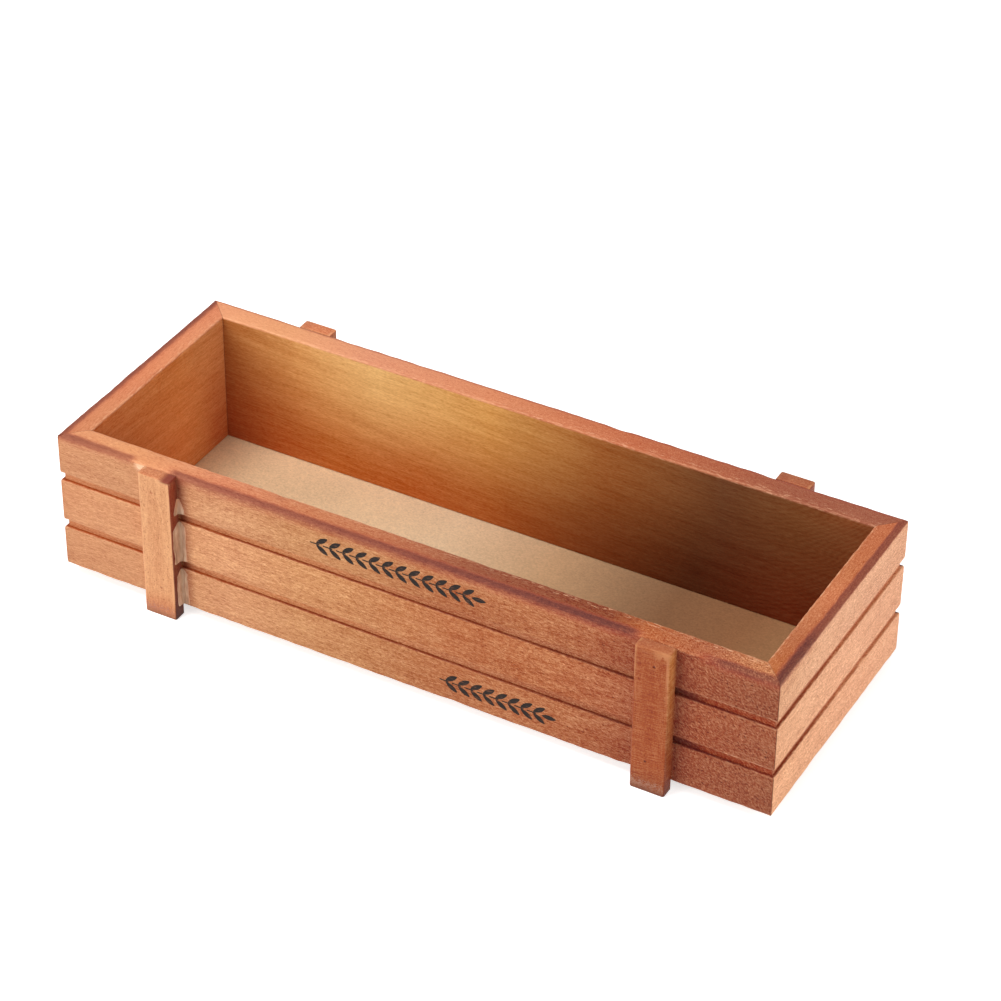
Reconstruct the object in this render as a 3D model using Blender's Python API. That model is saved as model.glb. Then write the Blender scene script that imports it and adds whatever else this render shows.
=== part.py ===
# Wooden planter box: a long trough of four mitred boards with two saw kerfs round
# the outside, a thin bottom panel in a rebate, four upright battens that stand
# below the boards as feet, and the pins that hold it all together.
#
# Metres, +Z up. X runs along the length, the front faces -Y, and the origin is
# on the ground under the middle of the box.

from collections import namedtuple
from math import cos, pi, radians, sin, sqrt

import bmesh
import bpy
from mathutils import Matrix, Vector

for old in list(bpy.data.objects):
    bpy.data.objects.remove(old, do_unlink=True)

# The box of boards
BOX_LENGTH = 0.300
BOX_WIDTH = 0.109
BOARD_HEIGHT = 0.060
BOARD_THICKNESS = 0.0095
BOARD_EDGE_ROUND = 0.0006

# Saw kerfs that turn each board into three slats
UPPER_SLAT_HEIGHT = 0.0172
LOWER_SLAT_HEIGHT = 0.0177
KERF_WIDTH = 0.0032
KERF_DEPTH = 0.0013

# Bottom panel, let into a rebate along the boards' lower inner edges
PANEL_THICKNESS = 0.0030
REBATE_WIDTH = 0.0050

# Battens, two on the front and two on the back, whose lower ends are the feet
BATTEN_WIDTH = 0.0140
BATTEN_THICKNESS = 0.0050
BATTEN_FROM_END = 0.0395
BATTEN_EDGE_ROUND = 0.0015
FOOT_DROP = 0.0042

# Headless pins, through the battens and across the mitres
PIN_RADIUS = 0.0005
BATTEN_PIN_LENGTH = 0.0110
BATTEN_PIN_BELOW_RIM = 0.0070
BATTEN_PIN_ABOVE_EDGE = 0.0095
BATTEN_PIN_STAGGER = 0.0010
CORNER_PIN_LENGTH = 0.0160

# Headed pins, up through the bottom panel
PANEL_PIN_RADIUS = 0.0006
PANEL_PIN_HEAD_RADIUS = 0.0011
PANEL_PIN_HEAD_HEIGHT = 0.0005
PANEL_PIN_LENGTH = 0.0100
PANEL_PINS_LONG_SIDE = 3
PANEL_PINS_SHORT_SIDE = 1

# Every pin's point, and how far its head is set below the surface
PIN_POINT_LENGTH = 0.0015
PIN_SET_DEPTH = 0.0003

# Clearances between pieces that touch on the real box
JOINT_GAP = 0.0003
PIN_CLEARANCE = 0.0003

# How finely the round forms are cut, and how far a hole's cutter runs out of the wood
PIN_SIDES = 12
BOARD_ROUND_STEPS = 2
BATTEN_ROUND_STEPS = 4
SHARP_ANGLE = radians(50)
CUTTER_OVERRUN = 0.0010
WELD_DISTANCE = 1e-7

# Heights and places that follow from the sizes above
EDGE_Z = FOOT_DROP
RIM_Z = EDGE_Z + BOARD_HEIGHT
LOWER_KERF_Z = EDGE_Z + LOWER_SLAT_HEIGHT
UPPER_KERF_Z = RIM_Z - UPPER_SLAT_HEIGHT - KERF_WIDTH
REBATE_DEPTH = BOARD_THICKNESS - REBATE_WIDTH
REBATE_Z = EDGE_Z + PANEL_THICKNESS + JOINT_GAP
PANEL_INSET = REBATE_DEPTH + JOINT_GAP
MITRE_SETBACK = JOINT_GAP / sqrt(2)
BATTEN_X = BOX_LENGTH / 2 - BATTEN_FROM_END - BATTEN_WIDTH / 2
BATTEN_BACK_Y = BOX_WIDTH / 2 + JOINT_GAP
BATTEN_FACE_Y = BATTEN_BACK_Y + BATTEN_THICKNESS

SIDES_X = {"left": -1, "right": 1}
SIDES_Y = {"front": -1, "back": 1}

# A pin's form, and one pin: where the middle of its head lies and which way it is driven
PinForm = namedtuple("PinForm", "radius length head_radius head_height")
Pin = namedtuple("Pin", "name form head drive")

BATTEN_PIN = PinForm(PIN_RADIUS, BATTEN_PIN_LENGTH, PIN_RADIUS, 0)
CORNER_PIN = PinForm(PIN_RADIUS, CORNER_PIN_LENGTH, PIN_RADIUS, 0)
PANEL_PIN = PinForm(PANEL_PIN_RADIUS, PANEL_PIN_LENGTH, PANEL_PIN_HEAD_RADIUS, PANEL_PIN_HEAD_HEIGHT)


def srgb(hex_colour):
    """A written colour as the linear values that a shader takes."""
    levels = [int(hex_colour[i:i + 2], 16) / 255 for i in (0, 2, 4)]
    return [v / 12.92 if v <= 0.04045 else ((v + 0.055) / 1.055) ** 2.4 for v in levels]


def plain_material(name, hex_colour, roughness, metallic=0.0):
    material = bpy.data.materials.new(name)
    material.use_nodes = True
    shader = material.node_tree.nodes["Principled BSDF"]
    shader.inputs["Base Color"].default_value = (*srgb(hex_colour), 1.0)
    shader.inputs["Roughness"].default_value = roughness
    shader.inputs["Metallic"].default_value = metallic
    return material


def add_object(name, bm, material=None):
    """Turns a bmesh into a named object, smooth across its rounded edges only."""
    bmesh.ops.recalc_face_normals(bm, faces=bm.faces)
    mesh = bpy.data.meshes.new(name)
    bm.to_mesh(mesh)
    bm.free()
    mesh.shade_smooth()
    mesh.set_sharp_from_angle(angle=SHARP_ANGLE)
    mesh.materials.append(material)
    thing = bpy.data.objects.new(name, mesh)
    bpy.context.collection.objects.link(thing)
    return thing


def quarter_turn(centre, radius, start, steps):
    """Points on a quarter circle round centre, anticlockwise from the angle start."""
    angles = [start + step / steps * pi / 2 for step in range(steps + 1)]
    return [(centre[0] + radius * cos(a), centre[1] + radius * sin(a)) for a in angles]


def prism(outline, low, high):
    """A closed prism whose outline lies in XY, from the height low to the height high."""
    bm = bmesh.new()
    base = bm.faces.new([bm.verts.new((x, y, low)) for x, y in outline])
    grown = bmesh.ops.extrude_face_region(bm, geom=[base], use_keep_orig=True)
    top = [item for item in grown["geom"] if isinstance(item, bmesh.types.BMVert)]
    bmesh.ops.translate(bm, verts=top, vec=(0, 0, high - low))
    return bm


def turned(profile):
    """A closed body turned round Z from (radius, height) pairs that start and end on the axis."""
    bm = bmesh.new()
    verts = [bm.verts.new((radius, 0, height)) for radius, height in profile]
    edges = [bm.edges.new(pair) for pair in zip(verts, verts[1:])]
    bmesh.ops.spin(
        bm, geom=verts + edges, axis=(0, 0, 1), cent=(0, 0, 0), angle=2 * pi, steps=PIN_SIDES, use_merge=True
    )
    bmesh.ops.remove_doubles(bm, verts=bm.verts, dist=WELD_DISTANCE)
    bmesh.ops.recalc_face_normals(bm, faces=bm.faces)
    return bm


def board_outline():
    """A board's section, as depth behind its outer face against height."""
    r = BOARD_EDGE_ROUND
    steps = BOARD_ROUND_STEPS
    inner = BOARD_THICKNESS
    outline = quarter_turn((r, EDGE_Z + r), r, pi, steps)
    outline += [(REBATE_DEPTH, EDGE_Z), (REBATE_DEPTH, REBATE_Z), (inner, REBATE_Z)]
    outline += quarter_turn((inner - r, RIM_Z - r), r, 0, steps)
    outline += quarter_turn((r, RIM_Z - r), r, pi / 2, steps)
    for low in (UPPER_KERF_Z, LOWER_KERF_Z):
        high = low + KERF_WIDTH
        outline += [(0, high), (KERF_DEPTH, high), (KERF_DEPTH, low), (0, low)]
    return outline


def mitred_board(name, length, across, quarter_turns, material):
    """A board with 45 degree ends, whose outer face lies half of across from the middle of the box."""
    bm = prism(board_outline(), -1, 1)
    for vert in bm.verts:
        depth, height, end = vert.co
        reach = length / 2 - depth - MITRE_SETBACK
        vert.co = Vector((end * reach, depth - across / 2, height))
    thing = add_object(name, bm, material)
    thing.rotation_euler = (0, 0, quarter_turns * pi / 2)
    return thing


def bottom_panel(material):
    """The flat panel that lies in the rebate of all four boards."""
    x = BOX_LENGTH / 2 - PANEL_INSET
    y = BOX_WIDTH / 2 - PANEL_INSET
    corners = [(-x, -y), (x, -y), (x, y), (-x, y)]
    return add_object("bottom_panel", prism(corners, EDGE_Z, EDGE_Z + PANEL_THICKNESS), material)


def batten(name, side_x, side_y, material):
    """An upright strip with rounded outer edges, from the ground up to the rim."""
    r = BATTEN_EDGE_ROUND
    half = BATTEN_WIDTH / 2
    shoulder = BATTEN_THICKNESS - r
    outline = [(-half, 0), (half, 0)]
    outline += quarter_turn((half - r, shoulder), r, 0, BATTEN_ROUND_STEPS)
    outline += quarter_turn((r - half, shoulder), r, pi / 2, BATTEN_ROUND_STEPS)
    thing = add_object(name, prism(outline, 0, RIM_Z), material)
    thing.location = (side_x * BATTEN_X, side_y * BATTEN_BACK_Y, 0)
    thing.rotation_euler = (0, 0, 0 if side_y > 0 else pi)
    return thing


def batten_pins():
    """Two pins in each batten, off its middle line by turns so that they don't split its grain."""
    pins = []
    heights = {"upper": RIM_Z - BATTEN_PIN_BELOW_RIM, "lower": EDGE_Z + BATTEN_PIN_ABOVE_EDGE}
    steps = {"upper": BATTEN_PIN_STAGGER, "lower": -BATTEN_PIN_STAGGER}
    for side, y in SIDES_Y.items():
        for end, x in SIDES_X.items():
            for level, height in heights.items():
                head = (x * (BATTEN_X + steps[level]), y * (BATTEN_FACE_Y - PIN_SET_DEPTH), height)
                pins.append(Pin(f"{side}_{end}_batten_pin_{level}", BATTEN_PIN, head, (0, -y, 0)))
    return pins


def corner_pins():
    """Two pins across each mitre, driven along X from the end board's kerfs, which hide their heads."""
    pins = []
    heights = {"upper": UPPER_KERF_Z + KERF_WIDTH / 2, "lower": LOWER_KERF_Z + KERF_WIDTH / 2}
    head_x = BOX_LENGTH / 2 - KERF_DEPTH - PIN_SET_DEPTH
    middle_y = BOX_WIDTH / 2 - BOARD_THICKNESS / 2
    for side, y in SIDES_Y.items():
        for end, x in SIDES_X.items():
            for level, height in heights.items():
                head = (x * head_x, y * middle_y, height)
                pins.append(Pin(f"{side}_{end}_corner_pin_{level}", CORNER_PIN, head, (-x, 0, 0)))
    return pins


def spaced(count, length):
    """Evenly spaced places along a length, round its middle."""
    return [(i + 1) * length / (count + 1) - length / 2 for i in range(count)]


def panel_pins():
    """Pins driven up through the panel's margin into the four boards above it."""
    pins = []
    margin = (PANEL_INSET + BOARD_THICKNESS) / 2
    head_z = EDGE_Z + PIN_SET_DEPTH
    for side, y in SIDES_Y.items():
        for number, x in enumerate(spaced(PANEL_PINS_LONG_SIDE, BOX_LENGTH), start=1):
            head = (x, y * (BOX_WIDTH / 2 - margin), head_z)
            pins.append(Pin(f"{side}_panel_pin_{number}", PANEL_PIN, head, (0, 0, 1)))
    for end, x in SIDES_X.items():
        for number, y in enumerate(spaced(PANEL_PINS_SHORT_SIDE, BOX_WIDTH), start=1):
            head = (x * (BOX_LENGTH / 2 - margin), y, head_z)
            pins.append(Pin(f"{end}_panel_pin_{number}", PANEL_PIN, head, (0, 0, 1)))
    return pins


def pin_profile(form, clearance=0.0, mouth=0.0):
    """A pin's profile, point down, or with a clearance that of its hole, open above the head."""
    shank = form.radius + clearance
    tip = -form.length - clearance
    profile = [(0, tip), (shank, tip + PIN_POINT_LENGTH)]
    if form.head_height:
        neck = -form.head_height - clearance
        profile += [(shank, neck), (form.head_radius + clearance, neck)]
    profile += [(form.head_radius + clearance, mouth), (0, mouth)]
    return profile


def pin_turn(pin):
    """The rotation that points a pin's tip the way it is driven."""
    return Vector(pin.drive).to_track_quat("-Z", "Y")


def add_pin(pin, material):
    thing = add_object(pin.name, turned(pin_profile(pin.form)), material)
    thing.location = pin.head
    thing.rotation_euler = pin_turn(pin).to_euler()
    return thing


def pin_hole_cutter(pins):
    """One hidden object with the hole of every pin, so that the same holes cut all the wood."""
    bm = bmesh.new()
    for pin in pins:
        hole = turned(pin_profile(pin.form, PIN_CLEARANCE, PIN_SET_DEPTH + CUTTER_OVERRUN))
        hole.transform(Matrix.LocRotScale(Vector(pin.head), pin_turn(pin), None))
        hole_mesh = bpy.data.meshes.new("hole")
        hole.to_mesh(hole_mesh)
        hole.free()
        bm.from_mesh(hole_mesh)
        bpy.data.meshes.remove(hole_mesh)
    cutter = add_object("pin_holes", bm)
    cutter.hide_render = True
    cutter.display_type = "WIRE"
    return cutter


def drill(thing, cutter):
    cut = thing.modifiers.new("pin holes", "BOOLEAN")
    cut.operation = "DIFFERENCE"
    cut.solver = "EXACT"
    cut.object = cutter


front_wood = plain_material("front board wood", "B96A48", 0.55)
back_wood = plain_material("back board wood", "BE7048", 0.55)
left_wood = plain_material("left end board wood", "C8794E", 0.55)
right_wood = plain_material("right end board wood", "E5A67E", 0.55)
batten_wood = plain_material("batten wood", "CB8452", 0.5)
fibreboard = plain_material("bottom panel fibreboard", "C9A172", 0.8)
pin_steel = plain_material("pin steel", "8A8580", 0.4, metallic=1.0)

wooden = [
    mitred_board("front_board", BOX_LENGTH, BOX_WIDTH, 0, front_wood),
    mitred_board("right_end_board", BOX_WIDTH, BOX_LENGTH, 1, right_wood),
    mitred_board("back_board", BOX_LENGTH, BOX_WIDTH, 2, back_wood),
    mitred_board("left_end_board", BOX_WIDTH, BOX_LENGTH, 3, left_wood),
    bottom_panel(fibreboard),
]
for side, y in SIDES_Y.items():
    for end, x in SIDES_X.items():
        wooden.append(batten(f"{side}_{end}_batten", x, y, batten_wood))

all_pins = batten_pins() + corner_pins() + panel_pins()
for pin in all_pins:
    add_pin(pin, pin_steel)

holes = pin_hole_cutter(all_pins)
for thing in wooden:
    drill(thing, holes)
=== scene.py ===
# Wooden planter box: the looks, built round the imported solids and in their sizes. Metres, +Z up.
# X runs along the length, the front faces -Y, and the origin is on the ground under the box.

from collections import namedtuple
from functools import partial
from math import cos, pi, radians, sin

import bmesh
import bpy
from mathutils import Matrix, Vector, noise


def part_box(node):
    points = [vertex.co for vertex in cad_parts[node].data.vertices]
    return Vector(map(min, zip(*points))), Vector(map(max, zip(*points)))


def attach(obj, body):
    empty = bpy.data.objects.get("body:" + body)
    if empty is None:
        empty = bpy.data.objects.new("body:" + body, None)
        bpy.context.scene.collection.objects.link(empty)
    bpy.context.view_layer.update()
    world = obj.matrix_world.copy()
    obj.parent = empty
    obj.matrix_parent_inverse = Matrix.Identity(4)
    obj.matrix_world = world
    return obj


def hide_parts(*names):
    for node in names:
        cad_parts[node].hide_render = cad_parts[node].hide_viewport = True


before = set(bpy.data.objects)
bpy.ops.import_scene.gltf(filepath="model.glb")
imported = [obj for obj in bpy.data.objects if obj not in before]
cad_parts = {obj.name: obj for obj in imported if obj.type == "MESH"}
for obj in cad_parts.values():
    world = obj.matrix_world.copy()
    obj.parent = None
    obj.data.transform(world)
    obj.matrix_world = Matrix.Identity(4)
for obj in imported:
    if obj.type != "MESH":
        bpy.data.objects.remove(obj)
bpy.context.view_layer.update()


# Boards. Four planed and stained beech boards, mitred at the corners. Two saw kerfs run round the
# outside, so that each board looks like three slats. The upper outer edge is scorched, then the
# whole box is stained and lightly sanded, which leaves its edges pale.

BOX_LENGTH = 0.300
BOX_WIDTH = 0.109
BOARD_THICKNESS = 0.0095
EDGE_Z = 0.0042
RIM_Z = 0.0642
REBATE_DEPTH = 0.0045
REBATE_Z = 0.0075
KERF_DEPTH = 0.0013
KERF_WIDTH = 0.0032
LOWER_KERF_Z = 0.0219
UPPER_KERF_Z = 0.0438
WORN_RIM_ROUND = 0.0009
SHARP_RIM_ROUND = 0.0004
INNER_RIM_ROUND = 0.0006
LOWER_EDGE_ROUND = 0.0006
KERF_ARRIS_ROUND = 0.0003
ROUND_STEPS = 3
CREASE = 0.00004
WORN_BAND = 0.0007
SMALL_CHIP = 0.00022
LARGE_CHIP = 0.0009
LARGE_CHIP_FROM = 0.42
CHIP_PITCH = 0.0042
LARGE_CHIP_PITCH = 0.0130
BOARD_SEED = 5.3
ARRIS_SEED = 1.7
STATION_STEP = 0.00125
MITRE_GAP = 0.00002
MITRE_TIP_EASE = 0.00014
SHARP_ANGLE = radians(38)
TINY = 1e-6
TO_MM = 1000

# A board's long edges: depth behind the outer face, height, the way into the wood, and rounding.
# The outer rim, which is rounded more on the front and the right, comes with each board.
Arris = namedtuple("Arris", "depth height inward ease")
ARRISES = [
    Arris(BOARD_THICKNESS, RIM_Z, (-1, -1), INNER_RIM_ROUND),
    Arris(0, EDGE_Z, (1, 1), LOWER_EDGE_ROUND),
    Arris(0, UPPER_KERF_Z + KERF_WIDTH, (1, 1), KERF_ARRIS_ROUND),
    Arris(0, UPPER_KERF_Z, (1, -1), KERF_ARRIS_ROUND),
    Arris(0, LOWER_KERF_Z + KERF_WIDTH, (1, 1), KERF_ARRIS_ROUND),
    Arris(0, LOWER_KERF_Z, (1, -1), KERF_ARRIS_ROUND),
]

# A board's colours and marks, each a list of (mm from the board's middle, value), the board seen
# from outside. Colours: its slats, rim, kerfs, the kerfs' lower sides, and its inside at the top
# and the foot. The scorched band: its strength, its width on the rim, the share of that width that
# is darkest, its strength and its width in mm on the face. Then strengths: grain, slanting fuzz,
# scratches by the inner edge, worn edges, painted shade beside a batten, a pale bare patch, fibres
# torn out along the kerfs' upper sides, and growth rings on the inside.
NOWHERE = [(-1, 0.0), (1, 0.0)]
Stain = namedtuple(
    "Stain", "outer rim kerf ledge inner_top inner_foot burn burn_top burn_core burn_edge burn_face "
    "grain fuzz scratch worn pooled bare torn rings", defaults=4 * [NOWHERE])


def colour(hex_colour):
    """A written sRGB colour as the linear values that a shader takes."""
    levels = [int(hex_colour[i:i + 2], 16) / 255 for i in (0, 2, 4)]
    return [v / 12.92 if v <= 0.04045 else ((v + 0.055) / 1.055) ** 2.4 for v in levels] + [1.0]


def fill(node, inputs):
    """Links or sets a node's inputs, which are given by name or in order."""
    for name, value in inputs.items() if isinstance(inputs, dict) else enumerate(inputs):
        if isinstance(value, bpy.types.NodeSocket):
            node.id_data.links.new(value, node.inputs[name])
        else:
            node.inputs[name].default_value = value


def add_node(tree, kind, inputs, out=0, stops=(), **settings):
    """Adds a shader node with its settings, its inputs and its ramp's stops. Gives one output."""
    added = tree.nodes.new("ShaderNode" + kind)
    for name, value in settings.items():
        setattr(added, name, value)
    fill(added, inputs)
    if stops:
        elements = added.color_ramp.elements
        elements[0].position, elements[-1].position = stops[0][0], stops[-1][0]
        for place, level in stops[1:-1]:
            elements.new(place)
        for element, (place, level) in zip(elements, stops):
            element.color = colour(level) if isinstance(level, str) else [level] * 3 + [1.0]
    return added.outputs[out]


def start_material(name):
    """Gives a new material, the function that adds its nodes, and its shader."""
    material = bpy.data.materials.new(name)
    material.use_nodes = True
    tree = material.node_tree
    return material, partial(add_node, tree), tree.nodes["Principled BSDF"]


def wood_tone(add, place, layers, contrast, tone=1.0):
    """A brightness round 1 from layers of grain: (size in mm, slant, noise range, tone range)."""
    for number, (size, slant, noise_range, tone_range) in enumerate(layers):
        turned = add("Mapping", {"Vector": place, "Rotation": (0, radians(slant), 0)})
        spot = add("Mapping", {
            "Vector": turned, "Location": [LAYER_SHIFT * number] * 3, "Scale": [1 / mm for mm in size]})
        grain = add("TexNoise", {"Vector": spot, "Scale": 1.0, "Detail": 2.0, "Roughness": 0.55})
        step = add("MapRange", [grain, *noise_range, *tone_range])
        step = add("Math", [step, contrast], operation="MULTIPLY")
        tone = add("Math", [step, tone], operation="ADD")
    return tone


def tint(add, surface, tone):
    """A wood's colour under its tone. Paler fibres are also yellower and less saturated."""
    return add("HueSaturation", {
        "Color": surface, "Value": tone, "Hue": add("MapRange", [tone, 0.6, 1.4, 0.485, 0.514]),
        "Saturation": add("MapRange", [tone, 0.6, 1.4, 1.12, 0.90])})


# Beech shows soft streaks, fine lines and the short dark and light flecks of its rays. The finest
# are drawn about twice their real width, so that they show.
BOARD_GRAIN = [
    ((70.0, 9.0, 7.0), 0, (0.25, 0.75), (-0.07, 0.07)),
    ((8.0, 0.9, 0.8), 0, (0.25, 0.75), (-0.08, 0.08)),
    ((1.8, 0.5, 0.40), 0, (0.25, 0.75), (-0.16, 0.16)),
    ((1.1, 0.45, 0.36), 0, (0.57, 0.70), (0.0, -0.24)),
    ((0.9, 0.45, 0.36), 0, (0.60, 0.72), (0.0, 0.24)),
]
# Where the wood was sanded across its grain, short raised fibres lie aslant and catch the light
SANDED_FUZZ = [
    ((1.6, 0.6, 0.34), -41, (0.25, 0.75), (-0.52, 0.52)),
    ((0.9, 0.5, 0.28), -43, (0.57, 0.68), (0.0, 1.0)),
    ((0.9, 0.5, 0.28), -43, (0.57, 0.68), (0.0, -0.72)),
]
# The inside was never sanded: long soft figure and fine straight lines
INSIDE_GRAIN = [
    ((42.0, 9.0, 6.0), 7, (0.30, 0.70), (-0.06, 0.06)),
    ((26.0, 2.4, 1.3), 3, (0.25, 0.75), (-0.07, 0.07)),
    ((5.0, 0.8, 0.5), 1, (0.25, 0.75), (-0.08, 0.08)),
    ((1.6, 0.6, 0.42), 0, (0.25, 0.75), (-0.12, 0.12)),
    ((2.0, 0.6, 0.4), 0, (0.60, 0.72), (0.0, -0.14)),
]
# The back board's growth rings: where they start to rise and where they end, by how much, and how
# far apart they are, in mm
SWEEP_FROM = -90.0
SWEEP_TO = -150.0
SWEEP_RISE = 42.0
RING_PITCH = 2.3
# Each layer of grain is moved by this, so that no two of them lie alike
LAYER_SHIFT = 3.7


def stained_beech(name, length, across, quarter_turns, slat_tones, stain):
    """Oil-stained, planed beech: satin, warm, with dark flecks, scorched rim and pale worn edges."""
    material, add, shader = start_material(name)

    # millimetres along the board, behind its outer face and above the ground
    place = add("Mapping", {
        "Vector": add("TexCoord", {}, out="Object"), "Location": (0, TO_MM * across / 2, 0),
        "Rotation": (0, 0, -quarter_turns * pi / 2), "Scale": (TO_MM, TO_MM, TO_MM)})
    along, depth, height = add("SeparateXYZ", [place]).node.outputs
    share = add("MapRange", [along, -TO_MM * length / 2, TO_MM * length / 2, 0.0, 1.0])
    upward = add("SeparateXYZ", [add("NewGeometry", {}, out="Normal")], out=2)
    ramps = {}
    for part, stops in stain._asdict().items():
        ramps[part] = add("ValToRGB", [share], stops=[(0.5 + mm / TO_MM / length, v) for mm, v in stops])

    # each slat a little lighter or darker than the others
    levels = [LOWER_KERF_Z, LOWER_KERF_Z + KERF_WIDTH, UPPER_KERF_Z, UPPER_KERF_Z + KERF_WIDTH]
    lower, middle, upper = slat_tones
    slat_tone = add("ValToRGB", [add("Math", [height, TO_MM * RIM_Z], operation="DIVIDE")], stops=[
        (level / RIM_Z, value) for level, value in zip(levels, (lower, middle, middle, upper))])
    surface = add("HueSaturation", {"Color": ramps["outer"], "Value": slat_tone})

    # painted shade on the board beside a batten's right side, and a bare patch under the rim
    pooled = add("MapRange", [height, 64.0, 62.5, 0.5, 1.0])
    pooled = add("Math", [pooled, ramps["pooled"]], operation="MULTIPLY")
    bare = add("MapRange", [height, 59.8, 62.0, 0.0, 1.0], interpolation_type="SMOOTHSTEP")
    bare = add("Math", [bare, ramps["bare"]], operation="MULTIPLY")

    # the inside, deep red-brown at the foot and lighter towards the rim, partly a real stain and partly
    # painted shade, which is also darker in the corners; the back wall's dark stretch towards the box's right
    # end is painted shadow
    inside = add("MapRange", [depth, 8.0, 9.2, 0.0, 1.0], interpolation_type="SMOOTHSTEP")
    rise = add("MapRange", [height, 8.0, 58.0, 0.0, 1.0], interpolation_type="SMOOTHSTEP")
    inner = add("Mix", {0: rise, 6: ramps["inner_foot"], 7: ramps["inner_top"]}, out=2, data_type="RGBA")

    # the kerfs, whose lower side is scorched by the saw and also painted darker as the shade inside the kerf:
    # the height over a kerf's lower side, counted from a little below it, is the same for both
    below = 2.0
    over_kerf = add("Math", [height, TO_MM * LOWER_KERF_Z - below], operation="SUBTRACT")
    over_kerf = add("Math", [over_kerf, TO_MM * (UPPER_KERF_Z - LOWER_KERF_Z)], operation="MODULO")
    over_kerf = add("Math", [over_kerf, below], operation="SUBTRACT")
    in_kerf = add("MapRange", [over_kerf, 2.2, 1.5, 0.5, 1.0], interpolation_type="SMOOTHSTEP")
    under_top = add("MapRange", [over_kerf, 3.5, 3.3, 0.0, 1.0])
    over_foot = add("MapRange", [over_kerf, -0.6, -0.3, 0.0, 1.0])
    cut_in = add("MapRange", [depth, 0.05, 0.35, 0.0, 1.0], interpolation_type="SMOOTHSTEP")
    not_inside = add("MapRange", [depth, 3.0, 2.0, 0.0, 1.0])
    for limit in (under_top, over_foot, cut_in, not_inside):
        in_kerf = add("Math", [in_kerf, limit], operation="MULTIPLY")
    ledge = add("MapRange", [upward, 0.3, 0.8, 0.0, 1.0], interpolation_type="SMOOTHSTEP")
    ledge = add("Math", [ledge, in_kerf], operation="MULTIPLY")

    on_rim = add("MapRange", [height, 63.1, 63.9, 0.0, 1.0], interpolation_type="SMOOTHSTEP")
    # the first layer, colour 7A3420, is painted shade beside a batten
    for shown, layer in (
            (pooled, colour("7A3420")), (bare, colour("FFD2AC")), (inside, inner),
            (on_rim, ramps["rim"]), (in_kerf, ramps["kerf"]), (ledge, ramps["ledge"])):
        surface = add("Mix", {0: shown, 6: surface, 7: layer}, out=2, data_type="RGBA")

    # grain, and the slanting fuzz on the outside
    outside = add("MapRange", [on_rim, 0.0, 1.0, 1.0, 0.75])
    outside = add("Math", [outside, inside], operation="SUBTRACT", use_clamp=True)
    tone = 1.0
    for part, layers in (("grain", BOARD_GRAIN), ("fuzz", SANDED_FUZZ)):
        contrast = add("Math", [ramps[part], outside], operation="MULTIPLY")
        tone = wood_tone(add, place, layers, contrast, tone)
    tone = wood_tone(add, place, INSIDE_GRAIN, inside, tone)
    # growth rings of a flat-sawn board, which sweep up towards one end
    sweep = add("MapRange", [along, SWEEP_FROM, SWEEP_TO, 0.0, 1.0])
    sweep = add("Math", [add("Math", [sweep, 2.0], operation="POWER"), SWEEP_RISE], operation="MULTIPLY")
    wander = add("Mapping", {"Vector": place, "Scale": (0.05, 0.05, 0.15)})
    wander = add("TexNoise", {"Vector": wander, "Scale": 1.0, "Detail": 1.0})
    sweep = add("Math", [sweep, add("MapRange", [wander, 0.0, 1.0, -4.0, 4.0])], operation="ADD")
    rings = add("Math", [add("Math", [height, sweep], operation="SUBTRACT"), RING_PITCH], operation="DIVIDE")
    rings = add("Math", [add("Math", [rings, 2 * pi], operation="MULTIPLY")], operation="SINE")
    shown = add("Math", [ramps["rings"], inside], operation="MULTIPLY")
    tone = add("Math", [tone, add("Math", [rings, shown], operation="MULTIPLY")], operation="ADD")
    surface = tint(add, surface, tone)

    # the scorched band: darkest on the rim just inside its outer edge, fading down the face
    ragged = add("Mapping", {"Vector": place, "Scale": (0.16, 0.5, 0.5)})
    ragged = add("TexNoise", {"Vector": ragged, "Scale": 1.0, "Detail": 5.0, "Roughness": 0.60})
    ragged = add("MapRange", [ragged, 0.0, 1.0, -0.22, 0.22])
    over_rim = add("Math", [depth, ramps["burn_top"]], operation="DIVIDE")
    over_rim = add("Math", [over_rim, ragged], operation="ADD")
    on_top = add("MapRange", [over_rim, 1.0, ramps["burn_core"], 0.0, 1.0], interpolation_type="SMOOTHSTEP")
    down_face = add("Math", [TO_MM * RIM_Z, height], operation="SUBTRACT")
    down_face = add("Math", [down_face, ramps["burn_face"]], operation="DIVIDE")
    down_face = add("Math", [down_face, ragged], operation="ADD")
    on_face = add("MapRange", [down_face, 1.0, 0.0, 0.0, ramps["burn_edge"]], interpolation_type="SMOOTHSTEP")
    burnt = add("Mix", {0: on_rim, 2: on_face, 3: on_top})
    speckled = add("MapRange", [tone, 0.80, 1.45, 1.0, 0.6])
    for limit in (ramps["burn"], speckled):
        burnt = add("Math", [burnt, limit], operation="MULTIPLY")
    reddened = add("MapRange", [burnt, 0.0, 0.45, 0.0, 0.55])
    darkened = add("MapRange", [burnt, 0.25, 1.0, 0.0, 1.0])

    # edges worn back to pale wood: a faint line, and bright where it is rubbed through
    worn = add("Attribute", {}, out="Fac", attribute_name="arris")
    worn = add("MapRange", [worn, 0.45, 1.0, 0.0, 1.0], interpolation_type="SMOOTHSTEP")
    rubbed = add("Mapping", {"Vector": place, "Scale": (0.42, 1.5, 1.5)})
    rubbed = add("TexNoise", {"Vector": rubbed, "Scale": 1.0, "Detail": 2.0})
    rubbed = add("MapRange", [rubbed, 0.44, 0.66, 0.15, 0.85], interpolation_type="SMOOTHSTEP")
    unburnt = add("MapRange", [burnt, 0.0, 0.35, 1.0, 0.1])
    for limit in (rubbed, ramps["worn"], unburnt):
        worn = add("Math", [worn, limit], operation="MULTIPLY")
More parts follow.
